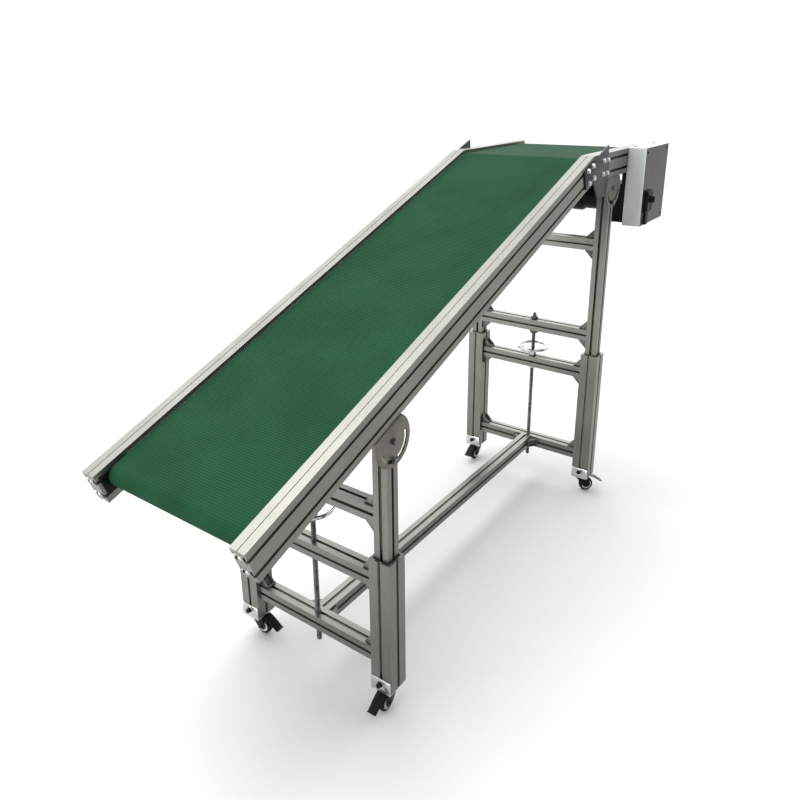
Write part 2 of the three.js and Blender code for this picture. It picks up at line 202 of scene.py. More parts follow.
def sink(width: float, depth: float = 0.0, each: bool = False) -> None:
    """Insets the selected faces by a width and a depth in millimetres, each on its own if asked."""
    bpy.ops.mesh.inset(thickness=width * MM, depth=-depth * MM, use_individual=each)


def chain(name: str, points: Sequence[Sequence[float]]) -> bpy.types.Object:
    """Draws a line of edges by extruding one vertex from point to point.

    Args:
        name: the new object's name.
        points: the places of the vertices, in millimetres.

    Returns:
        The new object, which has no faces yet.
    """
    bpy.ops.object.select_all(action="DESELECT")
    bpy.ops.mesh.primitive_plane_add(size=MM, location=at(points[0]))
    piece = named(name)
    with editing(piece, "VERT"):
        bpy.ops.mesh.select_all(action="SELECT")
        bpy.ops.mesh.merge(type="CENTER")
        for here, there in zip(points, points[1:]):
            push(Vector(there) - Vector(here))
    return piece


def tidy(piece: bpy.types.Object) -> None:
    """Merges doubled vertices and turns every face outwards.

    Args:
        piece: the object to clean.
    """
    with editing(piece):
        bpy.ops.mesh.select_all(action="SELECT")
        bpy.ops.mesh.remove_doubles(threshold=0.01 * MM)
        bpy.ops.mesh.normals_make_consistent(inside=False)


def plate(name: str, outline: Sequence[Sequence[float]], through: Triple) -> bpy.types.Object:
    """Fills an outline and extrudes it into a plate.

    Args:
        name: the new object's name.
        outline: corners in order, in millimetres.
        through: the plate's thickness as a vector.

    Returns:
        The new object.
    """
    piece = chain(name, outline)
    with editing(piece, "VERT"):
        bpy.ops.mesh.select_all(action="SELECT")
        bpy.ops.mesh.edge_face_add()
        push(through)
    tidy(piece)
    return piece


def turned(
    name: str, base: Sequence[float], axis: Vector, profile: Sequence[Pair], sides: int = 32
) -> bpy.types.Object:
    """Spins a profile round an axis.

    Args:
        name: the new object's name.
        base: a point on the axis, in millimetres.
        axis: the axis's direction.
        profile: radius and distance along the axis of each corner.
        sides: number of steps round the axis.

    Returns:
        The new object.
    """
    out = axis.orthogonal().normalized()
    origin = Vector(base)
    piece = chain(name, [origin + out * radius + axis * along for radius, along in profile])
    with editing(piece, "VERT"):
        bpy.ops.mesh.select_all(action="SELECT")
        bpy.ops.mesh.spin(steps=sides, angle=2 * math.pi, center=at(base), axis=axis)
    tidy(piece)
    return piece


def both_ways(ends: Sequence[Pair], middle: Sequence[Pair] = ()) -> list[Pair]:
    """Makes a profile with two like ends.

    Args:
        ends: radius and distance from the middle of each corner, from the end inwards.
        middle: corners between the two ends.

    Returns:
        The whole profile, from one end to the other.
    """
    return [*((radius, -along) for radius, along in ends), *middle, *reversed(ends)]


def finish_modifier(piece: bpy.types.Object, kind: str, **settings: object) -> None:
    """Adds one modifier with its settings and applies it.

    Args:
        piece: the object to change.
        kind: the modifier's type.
        settings: the modifier's own properties.
    """
    wake(piece)
    modifier = piece.modifiers.new(kind.title(), kind)
    for key, value in settings.items():
        setattr(modifier, key, value)
    bpy.ops.object.modifier_apply(modifier=modifier.name)


def soften(piece: bpy.types.Object, width: float = 0.8, segments: int = 2) -> bpy.types.Object:
    """Rounds the sharp edges of a piece and shades it smooth between them.

    Args:
        piece: the object to finish.
        width: the rounding's width in millimetres.
        segments: faces across each rounding.

    Returns:
        The same object.
    """
    finish_modifier(
        piece, "BEVEL", width=width * MM, segments=segments, limit_method="ANGLE",
        angle_limit=FLAT, use_clamp_overlap=True,
    )
    return smooth(piece)


def smooth(piece: bpy.types.Object) -> bpy.types.Object:
    """Shades a piece smooth wherever its faces meet at a low angle.

    Args:
        piece: the object to shade.

    Returns:
        The same object.
    """
    wake(piece)
    bpy.ops.object.shade_smooth_by_angle(angle=FLAT)
    return piece


def cut(piece: bpy.types.Object, *tools: bpy.types.Object) -> bpy.types.Object:
    """Cuts other objects out of a piece and throws them away.

    Args:
        piece: the object to cut.
        tools: the objects to take out of it.

    Returns:
        The same piece.
    """
    for tool in tools:
        finish_modifier(piece, "BOOLEAN", operation="DIFFERENCE", object=tool, solver="EXACT")
        bpy.data.objects.remove(tool)
    return piece


def joined(name: str, pieces: Sequence[bpy.types.Object]) -> bpy.types.Object:
    """Joins objects into the first one and names it.

    Args:
        name: the name of the whole.
        pieces: the objects to join.

    Returns:
        The first object, which now holds them all.
    """
    wake(pieces[0])
    for piece in pieces:
        piece.select_set(True)
    if len(pieces) > 1:
        bpy.ops.object.join()
    pieces[0].name = pieces[0].data.name = name
    return pieces[0]


def copy_of(piece: bpy.types.Object, name: str, move: Matrix) -> bpy.types.Object:
    """Copies a piece with its own mesh, moved in the mesh.

    Args:
        piece: the object to copy.
        name: the copy's name.
        move: where the copy goes, in the frame's metres.

    Returns:
        The copy.
    """
    twin = piece.copy()
    twin.data = piece.data.copy()
    twin.name = twin.data.name = name
    bpy.context.collection.objects.link(twin)
    twin.data.transform(move)
    if move.determinant() < 0:
        tidy(twin)
    return twin


def shift(x: float, y: float, z: float) -> Matrix:
    """Returns a move by millimetres."""
    return Matrix.Translation(Vector((x, y, z)) * MM)


def about(point: Sequence[float], turn: Matrix) -> Matrix:
    """Returns a turn or mirror made about a point given in millimetres."""
    return Matrix.Translation(at(point)) @ turn.to_4x4() @ Matrix.Translation(-at(point))


def onto(base: Sequence[float], axis: Vector) -> Matrix:
    """Returns the move that takes a shape standing on the zero point along +Z to a base and an axis."""
    turn = axis.to_track_quat("Z", "Y").to_matrix().to_4x4()
    return Matrix.Translation(at(base)) @ turn @ Matrix.Translation(-at((0, 0, 0)))


# ---------------------------------------------------------------- finishes
def linear(code: str) -> tuple[float, float, float, float]:
    """Turns an sRGB hex colour into the linear one that a shader takes.

    Args:
        code: six hex digits.

    Returns:
        Red, green, blue and an alpha of 1.
    """
    parts = [int(code[i : i + 2], 16) / 255 for i in (0, 2, 4)]
    bent = [p / 12.92 if p <= 0.04045 else ((p + 0.055) / 1.055) ** 2.4 for p in parts]
    return (*bent, 1.0)


def grey(level: float) -> tuple[float, float, float, float]:
    """Returns a neutral colour of one brightness."""
    return (level, level, level, 1.0)


def node(
    tree: bpy.types.NodeTree, kind: str, inputs: dict[str | int, object] | None = None, **settings: object
) -> bpy.types.Node:
    """Adds one shader node with its settings and links.

    Args:
        tree: the tree to add it to.
        kind: the node's type.
        inputs: socket name or number to a value, or to the socket that feeds it.
        settings: the node's own properties.

    Returns:
        The new node.
    """
    made = tree.nodes.new(kind)
    for key, value in settings.items():
        setattr(made, key, value)
    for key, value in (inputs or {}).items():
        if isinstance(value, bpy.types.NodeSocket):
            tree.links.new(value, made.inputs[key])
        else:
            made.inputs[key].default_value = value
    return made


def ramp(
    tree: bpy.types.NodeTree, value: bpy.types.NodeSocket, stops: Sequence[tuple[float, tuple]]
) -> bpy.types.NodeSocket:
    """Adds a colour ramp.

    Args:
        tree: the tree to add it to.
        value: the socket that drives it.
        stops: position and colour of each stop.

    Returns:
        Its colour socket.
    """
    made = node(tree, "ShaderNodeValToRGB", {"Fac": value})
    elements = made.color_ramp.elements
    while len(elements) < len(stops):
        elements.new(0.5)
    for element, (place, colour) in zip(elements, stops):
        element.position = place
        element.color = colour
    return made.outputs["Color"]


def multiplied(
    tree: bpy.types.NodeTree, first: bpy.types.NodeSocket, second: bpy.types.NodeSocket
) -> bpy.types.NodeSocket:
    """Multiplies two colours.

    Args:
        tree: the tree to add the node to.
        first: one colour.
        second: the other.

    Returns:
        The product's socket.
    """
    inputs = {"Factor": 1.0, 6: first, 7: second}
    return node(tree, "ShaderNodeMix", inputs, data_type="RGBA", blend_type="MULTIPLY").outputs[2]


LINE_STRETCH = 90.0  # a die line is this much longer than it is wide


class Grain(Enum):
    """Way the die lines or brush lines of a metal run, as turns of the X axis about Y and Z."""

    ALONG_X = (0.0, 0.0)
    ALONG_Y = (0.0, 90.0)
    ALONG_Z = (-90.0, 0.0)
    ALONG_SLOPE = (-20.0, 0.0)


@dataclass(frozen=True)
class Finish:
    """One surface finish, made as a material by make()."""

    name: str
    slot: str
    base: str
    worn: str
    metallic: float = 0.0
    rough: Pair = (0.4, 0.5)
    cloud: float = 60.0
    grit: float = 0.6
    bump: float = 0.15
    coat: float = 0.0
    shine: float = 0.5
    lines: Grain | None = None

    def make(self) -> bpy.types.Material:
        """Builds the material once and returns it again each later time.

        Returns:
            The material.
        """
        if self.name in bpy.data.materials:
            return bpy.data.materials[self.name]
        material = bpy.data.materials.new(self.name)
        material.use_nodes = True
        tree = material.node_tree
        shader = tree.nodes["Principled BSDF"]
        place = node(tree, "ShaderNodeTexCoord").outputs["Object"]
        clouds = self.noise(tree, place, self.cloud, detail=4.0)
        grit = self.noise(tree, self.stretched(tree, place), self.grit, detail=2.0)
        colour = ramp(tree, clouds, [(0.35, linear(self.worn)), (0.62, linear(self.base))])
        fleck = ramp(tree, grit, [(0.3, grey(0.86)), (0.7, grey(1.0))])
        mixed = multiplied(tree, colour, fleck)
        smoothest, roughest = self.rough
        rough = node(tree, "ShaderNodeMapRange", {
            "Value": grit, "From Min": 0.3, "From Max": 0.7, "To Min": smoothest, "To Max": roughest})
        bump = node(tree, "ShaderNodeBump", {
            "Height": grit, "Strength": self.bump, "Distance": 0.2 * MM})
        shader.inputs["Metallic"].default_value = self.metallic
        shader.inputs["Coat Weight"].default_value = self.coat
        shader.inputs["Specular IOR Level"].default_value = self.shine
        tree.links.new(mixed, shader.inputs["Base Color"])
        tree.links.new(rough.outputs["Result"], shader.inputs["Roughness"])
        tree.links.new(bump.outputs["Normal"], shader.inputs["Normal"])
        return material

    def noise(
        self, tree: bpy.types.NodeTree, place: bpy.types.NodeSocket, size: float, detail: float
    ) -> bpy.types.NodeSocket:
        """Adds a noise of one size.

        Args:
            tree: the material's tree.
            place: the coordinates that it reads.
            size: about how wide its blotches are, in millimetres.
            detail: how many finer layers it has.

        Returns:
            Its value.
        """
        made = node(tree, "ShaderNodeTexNoise", {
            "Vector": place, "Scale": 1 / (size * MM), "Detail": detail, "Roughness": 0.55})
        return made.outputs["Fac"]

    def stretched(self, tree: bpy.types.NodeTree, place: bpy.types.NodeSocket) -> bpy.types.NodeSocket:
        """Draws the pattern out into lines, where the finish has them.

        Args:
            tree: the material's tree.
            place: the plain coordinates.

        Returns:
            The coordinates for the fine pattern.
        """
        if self.lines is None:
            return place
        about_y, about_z = self.lines.value
        return node(tree, "ShaderNodeMapping", {
            "Vector": place,
            "Rotation": (0, math.radians(about_y), math.radians(about_z)),
            "Scale": (LINE_STRETCH, 1, 1),
        }, vector_type="TEXTURE").outputs["Vector"]


def anodised(lines: Grain) -> Finish:
    """Extruded aluminium, matt anodised: die lines along the bar, a soft sheen and a warm grey shade."""
    return Finish(
        f"anodised_aluminium_{lines.name.lower()}", "anodised", "7a7a75", "70706b", metallic=0.9,
        rough=(0.3, 0.42), cloud=180, grit=0.9, bump=0.08, lines=lines,
    )


# Zinc plate on pressed steel: bright and cool, with faint clouds.
ZINC = Finish(
    "bright_zinc_plate", "zinc", "d0d2d0", "b4b8b9", metallic=1.0, rough=(0.24, 0.36), cloud=14,
    grit=0.8, bump=0.1,
)
# Rolled steel screw with an oil film: dark, with light crests.
SCREW_STEEL = Finish(
    "oiled_screw_steel", "screw", "6b706f", "4b4f4e", metallic=0.95, rough=(0.28, 0.42), cloud=20,
    grit=1.0, bump=0.15,
)
# Polished chrome on a cast rim: sharp highlights, slight waviness.
CHROME = Finish(
    "polished_chrome", "chrome", "c9cccd", "b3b7b9", metallic=1.0, rough=(0.1, 0.2), cloud=25,
    grit=4.0, bump=0.03,
)
# Blue-black oxide on laser-cut plate: dark, half matt, with a cold tint.
OXIDE = Finish(
    "blued_steel_plate", "plate", "1e2125", "16191c", metallic=0.6, rough=(0.3, 0.42), cloud=35,
    grit=0.7, bump=0.2,
)
# Cold-rolled steel, only oiled: mid grey, with rolling marks.
MILL_STEEL = Finish(
    "cold_rolled_steel", "steel", "6e6b65", "625f5a", metallic=0.85, rough=(0.38, 0.5), cloud=60,
    grit=0.8, bump=0.1, lines=Grain.ALONG_X,
)
# Galvanised sheet: pale zinc flowers a few centimetres wide.
GALVANISED = Finish(
    "galvanised_sheet", "steel", "8f9391", "7b7f7e", metallic=0.9, rough=(0.35, 0.5), cloud=28,
    grit=2.0, bump=0.05,
)
# Silver-grey powder coat on folded sheet: satin, with a fine orange peel.
POWDER = Finish(
    "silver_powder_coat", "guard", "bcc0c0", "b4b8b8", metallic=0.35, rough=(0.34, 0.46), cloud=120,
    grit=1.1, bump=0.25,
)
# Brushed stainless lid on the box's -Y face, coloured far darker than the box: this darkness is painted shade
# of that side of the box, not the lid's own tone. Soft vertical streaks.
LID_STEEL_PAINTED_SHADE = Finish(
    "brushed_stainless_lid_painted_shade", "guard", "383a37", "323431", metallic=0.75, rough=(0.34, 0.46), cloud=90,
    grit=0.8, bump=0.1, lines=Grain.ALONG_Z,
)
# Sand-cast aluminium, blasted: pale and dull, with a coarse grain.
CAST_ALUMINIUM = Finish(
    "blasted_cast_aluminium", "anodised", "6c6c68", "5c5c59", metallic=0.85, rough=(0.45, 0.6),
    cloud=12, grit=0.9, bump=0.4,
)
# Black paint on a casting: satin, pebbled.
CAST_PAINT = Finish(
    "black_casting_paint", "cast", "141516", "0f1011", rough=(0.4, 0.55), cloud=30, grit=1.4, bump=0.5,
    shine=0.12,
)
# Black enamel on pressed steel: smooth, fairly glossy.
ENAMEL = Finish(
    "black_enamel_steel", "black_steel", "0e0f10", "0a0b0b", rough=(0.26, 0.36), cloud=20, grit=2.0,
    bump=0.08, shine=0.12,
)
# Socket screws with black oxide: dark metal that catches the light.
BLACK_OXIDE = Finish(
    "black_oxide_screw", "screw", "1f2021", "18191a", metallic=0.6, rough=(0.3, 0.42), cloud=6,
    grit=0.5, bump=0.1,
)
# Moulded black nylon: matt, with a spark-eroded grain.
NYLON = Finish(
    "moulded_black_nylon", "black", "101111", "0c0c0d", rough=(0.4, 0.52), cloud=18, grit=0.5,
    bump=0.3, shine=0.1,
)
# Polyurethane tread: black, slightly glossy where it rolls.
TREAD = Finish(
    "black_polyurethane", "rubber", "0f0f10", "161617", rough=(0.42, 0.6), cloud=9, grit=0.7, bump=0.3,
    shine=0.1,
)
# Pale grey polypropylene wheel centre.
WHEEL_CENTRE = Finish(
    "grey_polypropylene", "rubber", "b7babb", "a6aaab", rough=(0.35, 0.45), cloud=20, grit=0.8,
    bump=0.1,
)
# Green PVC cover on a woven ply: satin ribs.
BELT_COVER = Finish(
    "green_pvc_cover", "belt", "153d29", "113622", rough=(0.5, 0.62), cloud=140, grit=1.2, bump=0.12,
    shine=0.04,
)


def dress(
    piece: bpy.types.Object, finish: Finish, body: str, *replaced: str, slot: str | None = None
) -> bpy.types.Object:
    """Gives a new piece its finish, the body it rides on and the nodes that it stands for.

    Args:
        piece: the finished piece.
        finish: its surface.
        body: the body that it moves with.
        replaced: the nodes that it stands for.
        slot: not used.

    Returns:
        The same piece.
    """
    piece.data.materials.clear()
    piece.data.materials.append(finish.make())
    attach(piece, body)
    if replaced:
        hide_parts(*replaced)
    LOG.info("%s: %d faces on %s", piece.name, len(piece.data.polygons), body)
    return piece


def repaint(name: str, finish: Finish) -> None:
    """Gives a kept node a better material in the slots it has.

    Args:
        name: the node.
        finish: its new surface.
    """
    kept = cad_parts[name]
    if not kept.material_slots:
        kept.data.materials.append(None)
    for holder in kept.material_slots:
        holder.material = finish.make()


# ---------------------------------------------------------------- fasteners
@dataclass
class Fasteners:
    """Screws and bolts, each modelled once on the zero point and copied to where it is needed."""

    masters: dict[str, bpy.types.Object] = field(default_factory=dict)

    def cap_screw(self) -> bpy.types.Object:
        """Models an M8 socket screw head on its washer.

        Returns:
            The head and the washer.
        """
        washer = turned("washer", (0, 0, 0), Z, [(0, 0), (8.0, 0), (8.0, 1.4), (0, 1.4)], 24)
        profile = [(0, 0), (6.5, 0), (6.5, 7), (5.9, 7.6), (3.4, 7.6), (3.0, 3.5), (0, 3.5)]
        head = turned("head", (0, 0, 1.4), Z, profile, 20)
        return joined("cap_screw", [soften(washer, 0.3), soften(head, 0.3)])

    def hex_bolt(self) -> bpy.types.Object:
        """Models an M8 hexagon head on its washer.

        Returns:
            The head and the washer.
        """
        washer = turned("washer", (0, 0, 0), Z, [(0, 0), (8.2, 0), (8.2, 1.5), (0, 1.5)], 24)
        head = turned("head", (0, 0, 1.5), Z, [(0, 0), (7.4, 0), (7.4, 4.6), (6.5, 5.4), (0, 5.4)], 6)
        return joined("hex_bolt", [soften(washer, 0.3), soften(head, 0.3)])

    def button(self) -> bpy.types.Object:
        """Returns a small button head with its socket."""
        profile = [(0, 0), (5.0, 0), (4.7, 1.2), (3.6, 2.3), (2.0, 2.8), (1.8, 1.2), (0, 1.2)]
        return smooth(turned("button", (0, 0, 0), Z, profile, 20))

    def group(
        self, name: str, kind: Callable[[], bpy.types.Object], places: Sequence[Spot]
    ) -> bpy.types.Object:
        """Copies one kind of fastener to several places.

        Args:
            name: the name of the group of solids.
            kind: the method that models the fastener.
            places: base point and outward axis of each.

        Returns:
            All of them as one object.
        """
        key = kind.__name__
        if key not in self.masters:
            self.masters[key] = kind()
        master = self.masters[key]
        return joined(name, [copy_of(master, f"{name}_{i}", onto(*place)) for i, place in enumerate(places)])

    def clear(self) -> None:
        """Throws the modelled masters away."""
        for master in self.masters.values():
            bpy.data.objects.remove(master)
        self.masters.clear()


FASTENERS = Fasteners()


# ---------------------------------------------------------------- aluminium structure
@dataclass
class Profiles:
    """The slotted bars of the base, the leg frames and the bed."""

    posts: tuple[str, ...] = ("outer_leg_", "inner_post_")
    rails: tuple[str, ...] = ("rail_incline_l", "rail_incline_r")
    levels: tuple[str, ...] = ("rail_level_l", "rail_level_r", "long_beam")
    crossbars: tuple[str, ...] = (
        "mid_beam_f", "mid_beam_r", "bottom_beam_f", "bottom_beam_r", "upper_beam_f", "upper_beam_r",
        "head_beam_r", "cross_tie")
    tie_deep: float = 24.0  # middle of a tie under the rails' top

    def paint(self) -> None:
        """Gives each bar die lines along its own length."""
        for post in self.posts:
            for corner in ("fl", "fr", "rl", "rr"):
                repaint(post + corner, anodised(Grain.ALONG_Z))
        for name in self.crossbars:
            repaint(name, anodised(Grain.ALONG_Y))
        for name in self.rails:
            repaint(name, anodised(Grain.ALONG_SLOPE))
        for name in self.levels:
            repaint(name, anodised(Grain.ALONG_X))

    def head_tie(self) -> None:
        """Builds the second slotted bar under the slider bed, below the level head."""
        x, z = LEG_X["r"], KINK[1] - self.tie_deep
        slot = [(-4.1, 0), (-4.1, 2.2), (-6.5, 2.2), (-6.5, 4.2), (-5, 5.4)]
        groove = slot + [(-across, deep) for across, deep in reversed(slot)]
        section = [(-20, 0), *groove, (20, 0), (20, 20), (-20, 20)]
        outline = [(x + across, -RAIL_INNER, z - 10 + up) for across, up in section]
        bar = plate("head_cross_tie", outline, (0, 2 * RAIL_INNER, 0))
        dress(soften(bar, 0.4), anodised(Grain.ALONG_Y), "bed")

    def build(self) -> None:
        """Paints the bars that are kept and adds the one that isn't there yet."""
        self.paint()
        self.head_tie()


@dataclass
class CornerBrackets:
    """Cast brackets in the corners between the beams and the legs."""

    leg: float = 29.0
    wide: float = 28.0
    lip: float = 3.6
    gap: float = 0.4

    def master(self) -> bpy.types.Object:
        """Models one bracket with its two screws: its corner at the zero point, legs along +X and +Z.

        Returns:
            The bracket.
        """
        half, leg, lip = self.wide / 2, self.leg, self.lip
        outline = [(0, -half, 0), (leg, -half, 0), (leg, -half, lip), (lip, -half, leg), (0, -half, leg)]
        body = plate("bracket", outline, (0, self.wide, 0))
        slant = Vector((1, 0, 1)).normalized()
        with editing(body):
            choose_faces(body, lambda middle, normal: normal.dot(slant) > 0.9)
            sink(3)
            push(-slant * 11.5)
            squeeze((0.8, 0.9, 0.8), (8, 0, 8))
        soften(body, 0.8)
        screws = FASTENERS.group("bracket_screws", FASTENERS.button, [((14, 0, 3), Z), ((3, 0, 14), X)])
        return joined("bracket", [body, screws])

    def place(
        self, master: bpy.types.Object, name: str, corner: Triple, along: Vector, up: Vector
    ) -> bpy.types.Object:
        """Copies the bracket into one corner.

        Args:
            master: the modelled bracket.
            name: the copy's name.
            corner: where its two backs meet.
            along: direction of its first leg.
            up: direction of its second leg.

        Returns:
            The copy.
        """
        spot = Vector(corner) + (along + up) * self.gap
        across = up.cross(along)
        basis = Matrix((along, across, up)).transposed().to_4x4()
        move = Matrix.Translation(at(spot)) @ basis @ Matrix.Translation(-at((0, 0, 0)))
        return copy_of(master, name, move)

    def build(self) -> None:
        """Places the brackets of the base and of both leg frames."""
        master = self.master()
        outer, inner = LEG_Y["l"] - 30, LEG_Y["l"] - 20
        both = (1, -1)
        beams = {
            ("f", "base"): [("mid", outer, both), ("bottom", outer, (1,))],
            ("r", "base"): [("mid", outer, both), ("bottom", outer, (1,))],
            ("f", "front_frame"): [("upper", inner, both)],
            ("r", "rear_frame"): [("upper", inner, both), ("head", inner, both)],
        }
        for (end, body), rows in beams.items():
            for side, sign in SIDES.items():
                group = []
                for beam, reach, ways in rows:
                    for way in ways:
                        corner = (LEG_X[end], sign * reach, BEAM_HEIGHT[end][beam] + way * BEAM_HALF)
                        group.append(self.place(master, "corner", corner, -sign * Y, way * Z))
                dress(joined(f"corner_brackets_{body}_{end}{side}", group), CAST_ALUMINIUM, body)
        group = []
        for end, way in (("f", 1), ("r", -1)):
            for sign in both:
                corner = (LEG_X[end] + way * BEAM_HALF, sign * BEAM_HALF, BEAM_HEIGHT[end]["bottom"])
                group.append(self.place(master, "corner", corner, way * X, sign * Y))
        dress(joined("corner_brackets_long_beam", group), CAST_ALUMINIUM, "base")
        bpy.data.objects.remove(master)


# ---------------------------------------------------------------- casters
@dataclass
class Caster:
    """Swivel caster with a brake pedal, modelled on the zero point and trailing along +X."""

    radius: float = 25.0
    trail: float = 16.0
    half: float = 9.0
    headings: dict[str, float] = field(default_factory=lambda: {"fl": -88, "fr": 182, "rl": 180, "rr": -45})

    def fork(self) -> bpy.types.Object:
        """Models the pressed fork with its swivel head, axle and nuts.

        Returns:
            The fork.
        """
        race = [(0, 56.5), (19, 56.5), (22, 58), (23, 60.5), (20.5, 61.2), (20.5, 62.4), (22, 63), (21, 64.4),
                (0, 64.4)]
        head = turned("head", (0, 0, 0), Z, race, 32)
        arm = [(-19, 57), (-20, 50), (-12, 39), (2, 21), (9, 16.5), (23, 16.5), (28, 22), (28, 31), (25, 44),
               (24, 57)]
        sides = []
        for i, y in enumerate((-14.2, 11.6)):
            sides.append(plate(f"arm_{i}", [(x, y, z) for x, z in arm], (0, 2.6, 0)))
        crown = block("crown", (-19, -14.2, 54), (24, 14.2, 57.2))
        with editing(crown):
            choose_faces(crown, lambda middle, normal: abs(normal.x) > 0.9)
            push((0, 0, 0))
            squeeze((1, 0.9, 0.6), (2.5, 0, 55.6))
        bolt = [(0, 0), (5.2, 0), (5.8, 0.8), (5.8, 2.2), (3.8, 2.2), (3.8, 30.6), (5.8, 30.6), (5.8, 32),
                (5.2, 32.8), (0, 32.8)]
        axle = turned("axle", (self.trail, -16.4, self.radius), Y, bolt, 6)
        smooth(head)
        for part in (*sides, crown):
            soften(part, 0.8)
        return joined("fork", [head, *sides, crown, soften(axle, 0.3)])

    def tyre(self) -> bpy.types.Object:
        """Models the tread ring of the wheel.

        Returns:
            The tyre.
        """
        r, h = self.radius, self.half
        profile = both_ways([(18, h), (19.5, h - 0.8), (22.6, h - 0.4), (24.2, h - 1.6), (r, h - 4.5)])
        profile += [(17, 0), (18, -h)]
        return smooth(turned("tyre", (self.trail, 0, r), Y, profile, 48))

    def centre(self) -> bpy.types.Object:
        """Models the wheel centre with its raised ring and its hub.

        Returns:
            The wheel centre.
        """
        h = self.half
        side = [(4.4, 1.6), (7, 1.6), (8, -1.8), (13, -1.8), (14.2, 0.4), (17.6, 0.2), (17.8, -2)]
        profile = both_ways([(out, h + proud) for out, proud in side], [(16.8, 0)])
        profile.append(profile[0])
        return smooth(turned("centre", (self.trail, 0, self.radius), Y, profile, 48))

    def pedal(self) -> bpy.types.Object:
        """Models the broad bent pedal with its grip ribs.

        Returns:
            The pedal.
        """
        line = [(25.5, 60.5), (31, 61.6), (42, 56.4), (53, 49.4), (64, 41), (72, 35.4), (76.4, 35.8),
                (76.8, 33.4), (71, 32.2), (61, 39), (50, 46.8), (38, 54), (30, 57.4)]
        tongue = plate("tongue", [(x, -12.5, z) for x, z in line], (0, 25, 0))
        ribs = []
        for x, z in ((44, 54.6), (50, 50.8), (56, 46.6), (62, 42.2)):
            rib = plate("rib", [(x, -10, z + 0.6), (x + 2.2, -10, z - 0.9), (x + 2.9, -10, z + 0.4),
                                (x + 0.8, -10, z + 1.8)], (0, 20, 0))
            ribs.append(soften(rib, 0.3))
        return joined("pedal", [soften(tongue, 1.0), *ribs])

    def bracket(self, x: float, y: float, corner: str) -> bpy.types.Object:
        """Models the zinc angle that holds a caster under its leg.

        Args:
            x: the leg's middle along the conveyor.
            y: the leg's middle across it.
            corner: which leg, for the name.

        Returns:
            The angle with its washer.
        """
        back = x - 30.3
        outline = [(back - 4, 65), (x + 31, 65), (x + 31, 69.6), (back, 69.6), (back, 104), (back - 4, 104)]
        angle = plate(f"caster_bracket_{corner}", [(px, y - 29, pz) for px, pz in outline], (0, 58, 0))
        hole = turned("hole", (back - 14, y, 90), X, [(0, 0), (5, 0), (5, 20), (0, 20)], 24)
        soften(cut(angle, hole), 0.8)
        washer = turned("washer", (back - 4, y, 90), -X, [(0, -0.4), (9, -0.4), (9, 1.6), (0, 1.6)], 24)
        return joined(angle.name, [angle, soften(washer, 0.3)])

    def build(self) -> None:
        """Puts a caster under each leg."""
        masters = {
            "fork": (self.fork(), ENAMEL, "fork", True),
            "tyre": (self.tyre(), TREAD, "wheel", True),
            "centre": (self.centre(), WHEEL_CENTRE, "wheel", False),
            "pedal": (self.pedal(), NYLON, "pedal", True),
        }
        for corner, heading in self.headings.items():
            x, y = LEG_X[corner[0]], LEG_Y[corner[1]]
            spin = Matrix.Rotation(math.radians(heading), 4, "Z")
            move = shift(x, y, 0) @ about((0, 0, 0), spin)
            for part, (master, finish, body, stands_for_node) in masters.items():
                slot = None
                if part == "pedal" and corner == "rr":
                    finish, slot = MILL_STEEL, "steel"
                piece = copy_of(master, f"caster_{part}_{corner}_made", move)
                nodes = [f"caster_{body}_{corner}"] if stands_for_node else []
                dress(piece, finish, f"{body}_{corner}", *nodes, slot=slot)
            dress(self.bracket(x, y, corner), ZINC, "base", f"caster_plate_{corner}")
            screw = FASTENERS.group(f"caster_screw_{corner}", FASTENERS.cap_screw, [((x - 35.9, y, 90), -X)])
            dress(screw, BLACK_OXIDE, "base")
        for master, *_ in masters.values():
            bpy.data.objects.remove(master)


